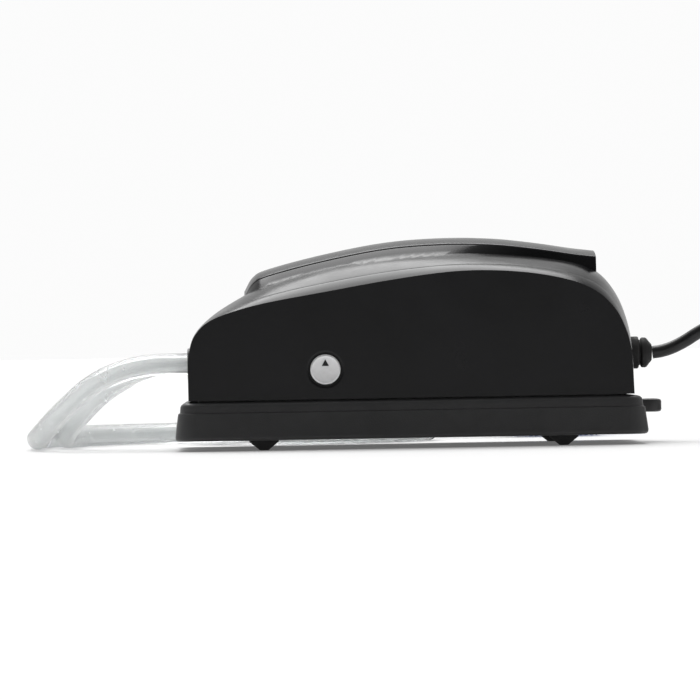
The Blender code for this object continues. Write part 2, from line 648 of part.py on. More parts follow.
def strain_relief():
    gland = turned("strain_relief", [(3.4, 51.0), (4.4, 51.0), (4.4, 52.8), (3.3, 53.2), (3.3, 60.2),
                                     (4.5, 60.4), (4.5, 62.5), (3.6, 62.9), (4.2, 63.5), (4.2, 64.8),
                                     (2.6, 66.1)], (0, 0, GLAND_Z), "x", "rubber", 20)
    for i, y in enumerate((-1.6, 1.6)):
        bore = turned(f"wire_bore_form_{i}", [(1.0, 48), (1.0, 56)], (0, y, GLAND_Z), "x", None, 10)
        cut(gland, bore)
    for label, y in (("brown", -1.6), ("blue", 1.6)):
        tube(f"{label}_wire", [(52.5, y, GLAND_Z), (50.6, y, GLAND_Z + 0.4), (49.2, y * 1.2, 27.6),
                               (48.8, y * 1.6, 33.0), (46, y * 2, 37.6), (42.4, y * 2.4, 38.6),
                               (39.6, y * 2.6, 38.3)],
             1.2, f"{label}_wire", 1.5, 2)


def mains_lead():
    tube("mains_lead", LEAD_ROUTE, LEAD_D, "rubber", 2.2, 2)
    flat_ring("mains_lead_coil", *LEAD_COIL_R, LEAD_COIL_TOP, LEAD_COIL, "rubber")
    tube("mains_lead_end", LEAD_TAIL, LEAD_D, "rubber", 2.0, 2)
    x, y, z = PLUG_BACK
    length, width, thick = PLUG_BODY
    loops = []
    for along, half_width, half_thick in ((0, 2.6, 2.6), (6, 3.4, 3.2), (7, 7.5, 5.2), (10, 10.5, 6.0),
                                          (16, width / 2, thick / 2), (length, width / 2, thick / 2)):
        outline = rounded_rectangle(-half_width, half_width, half_thick, 0.45 * min(half_thick, 5), 2)
        loops.append([(x + a, y + along + GAP, z + b) for a, b in outline])
    loft("plug_body", loops, "rubber")
    blade_length, blade_thick, blade_width = BLADE
    start = y + length + 2 * GAP
    for number, side in enumerate((-1, 1), 1):
        middle = x + side * BLADE_SPACING / 2
        blade = box(f"plug_blade_{number}", (middle - blade_thick / 2, start, z - blade_width / 2),
                    (middle + blade_thick / 2, start + blade_length, z + blade_width / 2), "brass")
        hole = turned(f"blade_hole_form_{number}", [(1.5, -3), (1.5, 3)],
                      (middle, start + blade_length - 3.7, z), "x", None, 12)
        cut(blade, hole)


def air_hoses():
    for number, strand in enumerate(("front", "rear"), 1):
        radius = HOSE_COIL_R[strand]
        tube(f"air_hose_{number}", HOSE_ROUTES[strand], HOSE_D, "clear_hose", 1.2, 3)
        flat_ring(f"air_hose_coil_{number}", radius - HOSE_D / 2, radius + HOSE_D / 2, 6.2,
                  HOSE_COIL, "clear_hose")
        tube(f"air_hose_end_{number}", TAIL_ROUTES[strand], HOSE_D, "clear_hose", 1.3, 3)
        stone = [(1.9, GAP), (1.9, 5.0), (6.4, 5.4), (7.0, 6.2), (7.0, 30.5), (5.6, 31.8)]
        turned(f"air_stone_{number}", stone, TAIL_ROUTES[strand][-1], "x", "blue_stone", 20)


clear_scene()
upper_shell()
base_tray()
feet_and_screws()
air_filter()
flow_control()
electromagnet()
pump_unit(1, -1)
pump_unit(2, 1)
strain_relief()
mains_lead()
air_hoses()
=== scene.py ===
"""The looks of a twin-outlet aquarium air pump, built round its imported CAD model.

Shapes are written in millimetres, in the CAD model's own frame, and are scaled to metres when
their meshes are made. The knob, filter cover, plug and lug tip are placed by the boxes of their
CAD nodes; the other sizes repeat the CAD model's own figures.
"""
import json
from math import cos, pi, radians, sin, sqrt

import bmesh
import bpy
from mathutils import Matrix, Vector


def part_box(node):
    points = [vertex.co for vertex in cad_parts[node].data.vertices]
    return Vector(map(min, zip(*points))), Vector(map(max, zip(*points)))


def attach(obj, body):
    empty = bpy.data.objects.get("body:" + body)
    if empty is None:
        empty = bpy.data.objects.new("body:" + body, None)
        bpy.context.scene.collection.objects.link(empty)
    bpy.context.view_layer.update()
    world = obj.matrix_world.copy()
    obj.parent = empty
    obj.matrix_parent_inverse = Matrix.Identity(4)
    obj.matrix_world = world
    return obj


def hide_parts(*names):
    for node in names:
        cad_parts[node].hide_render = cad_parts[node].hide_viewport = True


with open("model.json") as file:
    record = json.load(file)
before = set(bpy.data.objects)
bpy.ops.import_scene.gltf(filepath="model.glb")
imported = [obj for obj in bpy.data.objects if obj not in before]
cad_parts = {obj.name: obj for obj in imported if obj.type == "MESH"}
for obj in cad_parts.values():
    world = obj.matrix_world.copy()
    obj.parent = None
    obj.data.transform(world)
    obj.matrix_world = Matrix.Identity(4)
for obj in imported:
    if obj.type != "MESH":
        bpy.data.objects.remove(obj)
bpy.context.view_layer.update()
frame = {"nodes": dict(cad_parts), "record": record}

MM = 0.001


def box_mm(node):
    """A node's lowest and highest corners, in millimetres."""
    low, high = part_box(node)
    return Vector(low) / MM, Vector(high) / MM


# ---------------------------------------------------------------- shader building

class Shader:
    """Builds one Principled material node by node."""

    def __init__(self, name, colour, roughness, metallic=0.0):
        self.material = bpy.data.materials.new(name)
        self.material.use_nodes = True
        self.tree = self.material.node_tree
        self.surface = self.tree.nodes["Principled BSDF"]
        self.coordinates = self.tree.nodes.new("ShaderNodeTexCoord")
        self.set("Base Color", (*colour, 1.0))
        self.set("Roughness", roughness)
        self.set("Metallic", metallic)

    def set(self, socket, value):
        self.surface.inputs[socket].default_value = value
        return self

    def link(self, source, target):
        self.tree.links.new(source, target)

    def mapped(self, scale):
        """Object coordinates, stretched by a scale."""
        mapping = self.tree.nodes.new("ShaderNodeMapping")
        mapping.inputs["Scale"].default_value = scale
        self.link(self.coordinates.outputs["Object"], mapping.inputs["Vector"])
        return mapping.outputs["Vector"]

    def noise(self, scale, detail=3.0, roughness=0.5, stretch=(1, 1, 1)):
        texture = self.tree.nodes.new("ShaderNodeTexNoise")
        texture.inputs["Scale"].default_value = scale
        texture.inputs["Detail"].default_value = detail
        texture.inputs["Roughness"].default_value = roughness
        self.link(self.mapped(stretch), texture.inputs["Vector"])
        return texture.outputs["Fac"]

    def cells(self, scale, feature="F1", stretch=(1, 1, 1)):
        texture = self.tree.nodes.new("ShaderNodeTexVoronoi")
        texture.inputs["Scale"].default_value = scale
        texture.feature = feature
        self.link(self.mapped(stretch), texture.inputs["Vector"])
        return texture.outputs["Distance"]

    def bands(self, scale, direction, distortion=0.0):
        texture = self.tree.nodes.new("ShaderNodeTexWave")
        texture.wave_type = "BANDS"
        texture.bands_direction = direction
        texture.inputs["Scale"].default_value = scale
        texture.inputs["Distortion"].default_value = distortion
        self.link(self.mapped((1, 1, 1)), texture.inputs["Vector"])
        return texture.outputs["Fac"]

    def ramp(self, source, stops):
        """A colour ramp. Each stop is (position, colour)."""
        node = self.tree.nodes.new("ShaderNodeValToRGB")
        elements = node.color_ramp.elements
        for element, (position, colour) in zip(elements, (stops[0], stops[-1])):
            element.position = position
            element.color = (*colour, 1.0)
        for position, colour in stops[1:-1]:
            elements.new(position).color = (*colour, 1.0)
        self.link(source, node.inputs["Fac"])
        return node.outputs["Color"]

    def spread(self, source, low, high, start=0.3, end=0.7):
        """A value that runs from low to high as the source runs from start to end."""
        node = self.tree.nodes.new("ShaderNodeMapRange")
        node.inputs["From Min"].default_value = start
        node.inputs["From Max"].default_value = end
        node.inputs["To Min"].default_value = low
        node.inputs["To Max"].default_value = high
        self.link(source, node.inputs["Value"])
        return node.outputs["Result"]

    def colour(self, source):
        self.link(source, self.surface.inputs["Base Color"])
        return self

    def tint(self, source, low, high, start=0.3, end=0.7):
        """A colour that runs from low to high as the source runs from start to end."""
        return self.colour(self.ramp(source, [(start, low), (end, high)]))

    def roughness(self, source):
        self.link(source, self.surface.inputs["Roughness"])
        return self

    def bump(self, source, height_mm):
        """Adds relief of a real height, in millimetres, on top of any relief already there."""
        node = self.tree.nodes.new("ShaderNodeBump")
        node.inputs["Strength"].default_value = 1.0
        node.inputs["Distance"].default_value = height_mm * MM
        self.link(source, node.inputs["Height"])
        normal = self.surface.inputs["Normal"]
        if normal.is_linked:
            self.link(normal.links[0].from_socket, node.inputs["Normal"])
        self.link(node.outputs["Normal"], normal)
        return self


def gloss_black():
    made = Shader("gloss_black_abs", (0.006, 0.006, 0.007), 0.2)
    made.set("Specular IOR Level", 0.3)
    cloud = made.noise(38, 4)
    made.tint(cloud, (0.0045, 0.0045, 0.005), (0.008, 0.008, 0.009))
    made.roughness(made.spread(made.noise(120, 5, 0.6), 0.17, 0.27))
    made.bump(made.noise(55, 2), 0.008)
    made.bump(made.noise(2600, 2), 0.0035)
    return made.material


def satin_black():
    made = Shader("satin_black_abs", (0.036, 0.036, 0.037), 0.42)
    made.tint(made.noise(60, 4), (0.030, 0.030, 0.031), (0.043, 0.043, 0.044))
    made.roughness(made.spread(made.noise(300, 4), 0.36, 0.5))
    made.bump(made.cells(2300), 0.02)
    made.bump(made.noise(70, 2), 0.03)
    return made.material


def soft_rubber(name="soft_black_rubber", shade=0.016):
    made = Shader(name, (shade, shade, shade), 0.72)
    low, high = shade * 0.7, shade * 1.9
    made.tint(made.noise(240, 5, 0.65), (low,) * 3, (high,) * 3, end=0.75)
    made.roughness(made.spread(made.noise(420, 4), 0.6, 0.85))
    made.bump(made.noise(1500, 3), 0.02)
    return made.material


def lead_jacket():
    made = Shader("black_pvc_jacket", (0.014, 0.014, 0.015), 0.38)
    made.tint(made.noise(150, 4), (0.010, 0.010, 0.011), (0.020, 0.020, 0.021))
    made.roughness(made.spread(made.noise(260, 4), 0.3, 0.46))
    made.bump(made.noise(900, 3), 0.012)
    return made.material


def bright_metal(name, colour, roughness, axis="Z"):
    made = Shader(name, colour, roughness, 1.0)
    grain = made.noise(900, 3, 0.6, (0.06, 1, 1) if axis == "X" else (1, 1, 0.06))
    made.tint(grain, tuple(c * 0.86 for c in colour), colour)
    made.roughness(made.spread(grain, roughness * 0.75, roughness * 1.35))
    made.bump(grain, 0.004)
    return made.material


def knob_metal():
    """Bright disc with fine turning lines round its own centre."""
    made = Shader("turned_silver", (0.94, 0.94, 0.94), 0.34, 0.5)
    low, high = box_mm("flow_knob")
    centre = (low + high) / 2 * MM
    shift = made.tree.nodes.new("ShaderNodeVectorMath")
    shift.operation = "SUBTRACT"
    shift.inputs[1].default_value = centre
    made.link(made.coordinates.outputs["Object"], shift.inputs[0])
    lines = made.tree.nodes.new("ShaderNodeTexWave")
    lines.wave_type = "RINGS"
    lines.rings_direction = "Y"
    lines.inputs["Scale"].default_value = 900
    lines.inputs["Distortion"].default_value = 0.6
    made.link(shift.outputs["Vector"], lines.inputs["Vector"])
    made.tint(made.noise(700, 3), (0.9, 0.9, 0.905), (0.97, 0.97, 0.975))
    made.roughness(made.spread(lines.outputs["Fac"], 0.28, 0.42, 0.0, 1.0))
    made.bump(lines.outputs["Fac"], 0.008)
    return made.material


def laminations():
    made = Shader("laminated_steel", (0.3, 0.3, 0.32), 0.5, 0.9)
    sheets = made.bands(640, "Z")
    made.tint(sheets, (0.08, 0.07, 0.07), (0.36, 0.36, 0.38), 0.1, 0.5)
    made.roughness(made.spread(made.noise(200, 4), 0.35, 0.65))
    made.bump(sheets, 0.05)
    return made.material


def winding():
    made = Shader("enamelled_copper", (0.62, 0.27, 0.11), 0.35, 0.85)
    wires = made.bands(1300, "X", 0.3)
    made.tint(wires, (0.20, 0.07, 0.03), (0.72, 0.33, 0.15), 0.15)
    made.roughness(made.spread(made.noise(220, 4), 0.28, 0.45))
    made.bump(wires, 0.08)
    return made.material


def ferrite():
    made = Shader("sintered_ferrite", (0.1, 0.1, 0.105), 0.55, 0.4)
    made.tint(made.noise(500, 6, 0.7), (0.05, 0.05, 0.055), (0.16, 0.16, 0.165), 0.35)
    made.roughness(made.spread(made.noise(700, 4), 0.45, 0.7))
    made.bump(made.noise(1200, 5), 0.03)
    return made.material


def nylon():
    made = Shader("natural_nylon", (0.74, 0.73, 0.68), 0.42)
    made.set("Subsurface Weight", 0.15)
    made.set("Subsurface Radius", (0.002, 0.0015, 0.001))
    made.tint(made.noise(90, 4), (0.68, 0.67, 0.61), (0.79, 0.78, 0.74))
    made.roughness(made.spread(made.noise(300, 4), 0.34, 0.5))
    made.bump(made.noise(1600, 2), 0.008)
    return made.material


def circuit():
    made = Shader("solder_masked_board", (0.02, 0.17, 0.07), 0.35)
    tracks = made.cells(380, "DISTANCE_TO_EDGE", (1, 1, 1.6))
    made.tint(tracks, (0.02, 0.14, 0.05), (0.04, 0.26, 0.10), 0.05, 0.12)
    made.roughness(made.spread(made.noise(300, 3), 0.28, 0.45))
    made.bump(tracks, 0.03)
    return made.material


def felt():
    made = Shader("needled_felt", (0.7, 0.7, 0.66), 0.95)
    made.set("Sheen Weight", 0.4)
    made.tint(made.noise(900, 6, 0.7), (0.5, 0.5, 0.47), (0.78, 0.78, 0.74))
    made.roughness(made.spread(made.noise(500, 3), 0.88, 1.0))
    made.bump(made.noise(1400, 6, 0.8), 0.25)
    return made.material


def clear_vinyl():
    made = Shader("clear_flexible_vinyl", (0.95, 0.96, 0.96), 0.2)
    made.set("Transmission Weight", 0.8)
    made.set("IOR", 1.3)
    made.tint(made.noise(120, 3), (0.93, 0.945, 0.945), (0.975, 0.985, 0.985))
    made.roughness(made.spread(made.noise(260, 4), 0.16, 0.28))
    made.bump(made.noise(110, 2), 0.03)
    return made.material


def bonded_grains():
    """Coarse blue mineral grains, as in a bonded air stone."""
    made = Shader("blue_bonded_grains", (0.03, 0.13, 0.5), 0.85)
    grains = made.cells(1500)
    made.colour(made.ramp(made.noise(1300, 3, 0.7), [
        (0.3, (0.010, 0.045, 0.22)), (0.5, (0.03, 0.13, 0.46)), (0.75, (0.12, 0.30, 0.70))]))
    made.roughness(made.spread(made.noise(900, 3), 0.7, 1.0))
    made.bump(grains, 0.35)
    return made.material


def insulation(name, colour):
    made = Shader(name, colour, 0.45)
    made.tint(made.noise(400, 3), tuple(c * 0.8 for c in colour), colour)
    made.roughness(made.spread(made.noise(500, 3), 0.38, 0.55))
    made.bump(made.noise(900, 2), 0.01)
    return made.material


SURFACES = {
    "black_gloss_plastic": gloss_black(),
    "black_plastic": satin_black(),
    "rubber": soft_rubber(),
    "silver": knob_metal(),
    "steel": bright_metal("zinc_plated_steel", (0.60, 0.60, 0.62), 0.34),
    "core_steel": laminations(),
    "copper": winding(),
    "magnet": ferrite(),
    "white_plastic": nylon(),
    "grey_rubber": soft_rubber("grey_silicone", 0.17),
    "board_green": circuit(),
    "felt": felt(),
    "clear_hose": clear_vinyl(),
    "brass": bright_metal("stamped_brass", (0.78, 0.58, 0.26), 0.28, "X"),
    "brown_wire": insulation("brown_insulation", (0.22, 0.08, 0.03)),
    "blue_wire": insulation("blue_insulation", (0.03, 0.10, 0.42)),
    "blue_stone": bonded_grains(),
}
LEAD_SURFACE = lead_jacket()


def dress_frame():
    """Gives every carried-over CAD node the finish of its material slot."""
    for part in frame["record"]["subparts"]:
        surface = SURFACES[part["material_slot"]]
        mesh = frame["nodes"][part["node"]].data
        if not mesh.materials:
            mesh.materials.append(surface)
        for i in range(len(mesh.materials)):
            mesh.materials[i] = surface


# ---------------------------------------------------------------- mesh building

def piece(name, points, faces, surface, body="housing", smooth=pi / 6):
    """A mesh piece from points in millimetres, riding on a body."""
    mesh = bpy.data.meshes.new(name)
    mesh.from_pydata([Vector(p) * MM for p in points], [], faces)
    shaping = bmesh.new()
    shaping.from_mesh(mesh)
    bmesh.ops.recalc_face_normals(shaping, faces=shaping.faces)
    shaping.to_mesh(mesh)
    shaping.free()
    if surface:
        mesh.materials.append(surface)
    mesh.shade_smooth()
    mesh.set_sharp_from_angle(angle=smooth)
    made = bpy.data.objects.new(name, mesh)
    bpy.context.collection.objects.link(made)
    if surface:
        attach(made, body)
    return made


def loft(name, loops, surface, body="housing", smooth=pi / 6):
    """A closed solid through loops of equal length, with its two ends filled."""
    count = len(loops[0])
    faces = [tuple(range(count))]
    for row in range(len(loops) - 1):
        for i in range(count):
            j = (i + 1) % count
            low = row * count
            high = low + count
            faces.append((low + i, low + j, high + j, high + i))
    last = (len(loops) - 1) * count
    faces.append(tuple(range(last, last + count)))
    return piece(name, [p for loop in loops for p in loop], faces, surface, body, smooth)


def turned(name, profile, centre, axis, surface, body="housing", segments=64):
    """A solid of revolution. The profile holds (radius, distance along the axis) pairs."""
    along = "xyz".index(axis)
    across = [i for i in range(3) if i != along]
    loops = []
    for radius, distance in profile:
        loop = []
        for i in range(segments):
            angle = 2 * pi * i / segments
            point = list(centre)
            point[along] += distance
            point[across[0]] += radius * cos(angle)
            point[across[1]] += radius * sin(angle)
            loop.append(tuple(point))
        loops.append(loop)
    return loft(name, loops, surface, body)


def block(name, low, high):
    """A plain block between two corners, to be fused on or cut away."""
    corners = [(low[0], low[1]), (high[0], low[1]), (high[0], high[1]), (low[0], high[1])]
    return loft(name, [[(x, y, z) for x, y in corners] for z in (low[2], high[2])], None)


def combine(target, tool, operation):
    """Cuts a tool from a piece, or fuses it on, and takes the tool away."""
    change = target.modifiers.new(operation.lower(), "BOOLEAN")
    change.operation = operation
    change.solver = "EXACT"
    change.object = tool
    apply_modifiers(target)
    bpy.data.objects.remove(tool, do_unlink=True)


def apply_modifiers(target):
    sheet = bpy.context.evaluated_depsgraph_get()
    mesh = bpy.data.meshes.new_from_object(target.evaluated_get(sheet))
    old = target.data
    target.modifiers.clear()
    target.data = mesh
    bpy.data.meshes.remove(old)


def settle_shading(target, degrees):
    """Smooth shading led by the large flat faces, so that long thin facets leave no streaks."""
    target.data.shade_smooth()
    target.data.set_sharp_from_angle(angle=radians(degrees))
    weighted = target.modifiers.new("weighted", "WEIGHTED_NORMAL")
    weighted.keep_sharp = True
    weighted.weight = 100
    apply_modifiers(target)


def bevel(target, width, segments, angle):
    """Rounds every edge that is sharper than an angle."""
    edge = target.modifiers.new("edge", "BEVEL")
    edge.width = width * MM
    edge.segments = segments
    edge.limit_method = "ANGLE"
    edge.angle_limit = angle
    edge.miter_outer = "MITER_ARC"
    apply_modifiers(target)
    target.data.shade_smooth()
    target.data.set_sharp_from_angle(angle=pi / 5)


def smooth_through(points, steps):
    """Points on a smooth curve through the given ones, steps to each stretch."""
    padded = [2 * Vector(points[0]) - Vector(points[1])]
    padded += [Vector(p) for p in points]
    padded += [2 * Vector(points[-1]) - Vector(points[-2])]
    curve = []
    for i in range(1, len(padded) - 2):
        a, b, c, d = padded[i - 1:i + 3]
        for k in range(steps):
            t = k / steps
            linear = (c - a) * t
            square = (2 * a - 5 * b + 4 * c - d) * t * t
            cube = (3 * b - a - 3 * c + d) * t ** 3
            curve.append(b + (linear + square + cube) / 2)
    curve.append(padded[-2])
    return curve


def ease(t):
    t = min(max(t, 0.0), 1.0)
    return t * t * (3 - 2 * t)


def rounded_rectangle(left, right, half_depth, radius, steps=10):
    outline = []
    centres = [(right - radius, half_depth - radius, 0), (left + radius, half_depth - radius, 1),
               (left + radius, radius - half_depth, 2), (right - radius, radius - half_depth, 3)]
    for x, y, quarter in centres:
        for k in range(steps + 1):
            angle = pi / 2 * (quarter + k / steps)
            outline.append((x + radius * cos(angle), y + radius * sin(angle)))
    return outline


# ---------------------------------------------------------------- housing

FOOT_HEIGHT = 2.8
BASE_LEFT = -67.0
BASE_RIGHT = 62.8
BASE_HALF_DEPTH = 37.0
BASE_CORNER = 6.0
BASE_TOP = 13.4
FLOOR_TOP = 4.8
SHELL_BOTTOM = 13.8
SHELL_INSET = 3.8
SHELL_HALF_DEPTH = BASE_HALF_DEPTH - SHELL_INSET
WALL = 2.2
OUTLET_Y = 11.0
OUTLET_Z = 23.8
GLAND_Z = 25.0
GLAND_HOLE_R = 3.6
KNOB_R = 4.15
KNOB_RECESS_R = KNOB_R + 1.3
KNOB_LEDGE_R = KNOB_R + 0.6
KNOB_SHAFT_HOLE_R = 2.2
RIB_HALF_WIDTH = 14.0
RIB_END = 50.3
FLOOR_MIDDLE = 3.8  # where what stands on the base's floor starts, inside it
SCREW_POST_R = 2.9
SCREW_POST_FOOT = 13.7
SCREW_POST_TOPS = (34.0, 38.0)  # at the outlet end and at the lead end
PILOT_R = 1.7
HOLLOW_RISE = 0.6   # the hollow's top stops at this share of the rise from crease to crown line
FILTER_SLITS = 7
FILTER_SLIT_PITCH = 3.0
# Posts on the base's floor that carry the swing arms, the pump chambers and the core:
# two corners on one side of the middle, and the top.
POSTS = [((-52, 17), (-45, 24), 16.7), ((-42, 2), (-24, 11.8), 11.7),
         ((39.4, 18), (46.5, 25.5), 16.7)]
SCREWS = [(x, y) for x in (-55.6, 50.4) for y in (-26.0, 26.0)]
FEET = [(x, y) for x in (-42.7, 39.6) for y in (-29.0, 29.0)]

# Side view of the shell, in X and in height above the underside of the base.
CREASE_LINE = [(-63.2, 11), (-63.2, 20), (-62.7, 25), (-61.2, 29), (-57.8, 32.4), (-52, 34.9),
               (-42, 37.5), (-25, 40.4), (-8, 43.2), (8, 45.2), (20, 45.5), (32, 44.5),
               (42, 42.4), (48.9, 39.4), (53.5, 35.2), (56.3, 30.4), (58.3, 23.5), (58.95, 11)]
CROWN_LINE = [(-63.4, 11), (-63.4, 20), (-62.9, 25.5), (-60.9, 30.2), (-55.9, 34.9), (-49, 39.2),
              (-39.8, 43.7), (-25, 48.0), (-8, 50.6), (8, 51.3), (20, 50.9), (32, 49.9),
              (43.3, 48.2), (50.6, 45.2), (55.4, 39.6), (58.3, 32.6), (59.7, 24.5), (60.0, 11)]
RIB_LINE = [(-47.5, 41.2), (-45, 45.2), (-40.5, 47.4), (-25, 51.2), (-8, 54.2), (8, 55.2),
            (22, 54.8), (34, 53.4), (44, 51.8), (RIB_END, 51.0)]
# Cross-section of the top: distance from the side wall, and share of the rise to the crown line.
SHOULDER = [(0.0, 0.0), (0.8, 0.085), (1.8, 0.17), (3.0, 0.255), (3.9, 0.31), (4.35, 0.325)]
GROOVE = [(4.45, 0.31), (4.6, 0.25), (4.85, 0.235), (5.05, 0.25), (5.25, 0.335)]
UPPER_BAND = [(5.4, 0.345), (6.2, 0.40), (9.0, 0.57), (12.0, 0.72), (16.0, 0.86), (19.0, 0.93),
              (26.0, 0.99), (SHELL_HALF_DEPTH, 1.0)]


def side_curve(line, steps):
    """A side-view line made smooth, with its heights counted from the floor the pump stands on."""
    return [(p.x, p.y + FOOT_HEIGHT) for p in smooth_through([(x, z, 0) for x, z in line], steps)]


def shell_form(name, thickness, bottom, surface, steps=5):
    """The outer form of the shell, or with a thickness the hollow inside it."""
    crease = side_curve(CREASE_LINE, steps)
    crown = side_curve(CROWN_LINE, steps)
    near = [(inset - SHELL_HALF_DEPTH, share) for inset, share in SHOULDER + GROOVE + UPPER_BAND]
    columns = near + [(-y, share) for y, share in reversed(near[:-1])]
    middle = (BASE_LEFT + BASE_RIGHT) / 2
    half = (BASE_RIGHT - BASE_LEFT) / 2 - SHELL_INSET
    loops = []
    for y, share in columns:
        loop = []
        for edge, top in zip(crease, crown):
            kept = min(share, HOLLOW_RISE) if thickness else share
            x = edge[0] + (top[0] - edge[0]) * kept
            z = edge[1] + (top[1] - edge[1]) * kept
            if thickness:
                x = middle + (x - middle) * (half - thickness) / half
                z = z - thickness if z > SHELL_BOTTOM + 5 else z
            loop.append((x, y * (SHELL_HALF_DEPTH - thickness) / SHELL_HALF_DEPTH, max(z, bottom)))
        loop[0] = (loop[0][0], loop[0][1], bottom)
        loop[-1] = (loop[-1][0], loop[-1][1], bottom)
        loops.append(loop)
    return loft(name, loops, surface)


def top_rib():
    """The raised strip along the middle of the top, cut off square at its right-hand end.

    Its sides slope gently at the left and grow steep towards the right.
    """
    loops = []
    for x, z in side_curve(RIB_LINE, 6):
        half = RIB_HALF_WIDTH * min(1.0, 0.55 + 0.45 * (x + 52) / 12)
        flare = 0.6 + 5.4 * (1 - ease((x - 2) / 34))
        side = [(half + flare, -6.5), (half + 0.4 * flare, -3.8), (half + 0.1 * flare, -2.5),
                (half, -2.25), (half - 0.12, -2.0), (half - 0.45, -1.75)]
        arch = [(half * k / 8, -1.95 * (k / 8) ** 2.2) for k in range(7, -1, -1)]
        section = side + arch
        full = [(y, z + h) for y, h in section] + [(-y, z + h) for y, h in reversed(section[:-1])]
        loops.append([(x, y, height) for y, height in full])
    return loft("rib_form", loops, None)


def outlet_bosses(shell):
    """Fuses a low stepped ring round each outlet."""
    for y in (-OUTLET_Y, OUTLET_Y):
        profile = [(4.1, 1.4), (4.4, 1.5), (4.5, 1.7), (4.5, 2.6), (5.2, 3.3), (5.4, 3.8), (5.4, 6)]
        combine(shell, turned("boss_form", profile, (-65.0, y, OUTLET_Z), "x", None), "UNION")


def upper_shell():
    """The casing: its outer form and rib, hollowed, with its screw posts and openings."""
    shell = shell_form("shell_cover", 0.0, SHELL_BOTTOM, SURFACES["black_gloss_plastic"])
    bevel(shell, 1.2, 4, pi / 3.4)
    combine(shell, top_rib(), "UNION")
    outlet_bosses(shell)
    combine(shell, shell_form("hollow_form", WALL, SHELL_BOTTOM - 2, None, 3), "DIFFERENCE")
    low, high = box_mm("flow_knob")
    knob = ((low.x + high.x) / 2, -SHELL_HALF_DEPTH - 1, (low.z + high.z) / 2)
    for x, y in SCREWS:
        top = SCREW_POST_TOPS[0 if x < 0 else 1]
        post = turned("post_form", [(SCREW_POST_R, SCREW_POST_FOOT), (SCREW_POST_R, top)],
                      (x, y, 0), "z", None, segments=40)
        combine(shell, post, "UNION")
        pilot = turned("pilot_form", [(PILOT_R, 12), (PILOT_R, 26)], (x, y, 0), "z", None,
                       segments=32)
        combine(shell, pilot, "DIFFERENCE")
    for y in (-OUTLET_Y, OUTLET_Y):
        profile = [(3.9, 0), (3.9, 3.2), (3.5, 3.6), (3.5, 12)]
        hole = turned("hole_form", profile, (-68, y, OUTLET_Z), "x", None)
        combine(shell, hole, "DIFFERENCE")
    profile = [(GLAND_HOLE_R, 0), (GLAND_HOLE_R, 14)]
    combine(shell, turned("gland_form", profile, (50, 0, GLAND_Z), "x", None), "DIFFERENCE")
    profile = [(KNOB_RECESS_R, 0), (KNOB_RECESS_R, 0.95), (KNOB_LEDGE_R, 1.15), (KNOB_LEDGE_R, 1.9)]
    combine(shell, turned("recess_form", profile, knob, "y", None), "DIFFERENCE")
    profile = [(KNOB_SHAFT_HOLE_R, 0), (KNOB_SHAFT_HOLE_R, 6)]
    combine(shell, turned("shaft_form", profile, knob, "y", None), "DIFFERENCE")
    settle_shading(shell, 28)
    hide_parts("upper_shell")


def base_tray():
    """A tray with a rounded foot, a step under its rim, and a raised lip inside the shell."""
    stack = [(1.1, FOOT_HEIGHT), (0.45, FOOT_HEIGHT + 0.15), (0.1, FOOT_HEIGHT + 0.55),
             (0.0, FOOT_HEIGHT + 1.2), (0.85, 10.2), (0.95, 10.35), (1.35, 10.5), (1.4, 10.8),
             (1.5, 12.1), (1.75, 12.7), (2.3, 13.15), (3.2, BASE_TOP), (6.4, BASE_TOP), (6.4, 15.6),
             (7.7, 15.6), (7.7, 12.2), (3.4, 10.6), (2.4, FLOOR_TOP)]
    loops = []
    for inset, z in stack:
        outline = rounded_rectangle(BASE_LEFT + inset, BASE_RIGHT - inset, BASE_HALF_DEPTH - inset,
                                    max(BASE_CORNER - inset, 0.8))
        loops.append([(x, y, z) for x, y in outline])
    base = loft("base_shell", loops, SURFACES["black_plastic"])
    combine(base, hanging_lug(), "UNION")
    for side in (-1, 1):
        for (x0, y0), (x1, y1), top in POSTS:
            low, high = sorted((side * y0, side * y1))
            combine(base, block("post_form", (x0, low, FLOOR_MIDDLE), (x1, high, top)), "UNION")
    for x, y in SCREWS:
        profile = [(3.2, 1), (3.2, 3.0), (2.9, 3.3), (2.9, 6.0), (1.7, 6.0), (1.7, 9)]
        bore = turned("bore_form", profile, (x, y, 0), "z", None, segments=40)
        profile = [(4.0, FLOOR_MIDDLE), (4.0, BASE_TOP)]
        combine(base, turned("column_form", profile, (x, y, 0), "z", None), "UNION")
        combine(base, bore, "DIFFERENCE")
    for x, y in FEET:
        profile = [(4.9, 1), (4.9, 3.0), (4.5, 3.2), (1.9, 3.2), (1.9, 6)]
        hole = turned("foot_form", profile, (x, y, 0), "z", None, segments=48)
        combine(base, hole, "DIFFERENCE")
    low, high = box_mm("filter_cover")
    middle = (low + high) / 2
    centre = (middle.x, middle.y, 0)
    well = turned("well_form", [(15, FLOOR_MIDDLE), (15, 9.4)], centre, "z", None)
    combine(base, well, "UNION")
    profile = [(13.6, 1), (13.6, 3.0), (13.0, 3.4), (13, 7.9)]
    combine(base, turned("pocket_form", profile, centre, "z", None), "DIFFERENCE")
    inlet = turned("inlet_form", [(3, 7), (3, 11)], centre, "z", None, segments=32)
    combine(base, inlet, "DIFFERENCE")
    settle_shading(base, 30)
    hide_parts("base_tray")


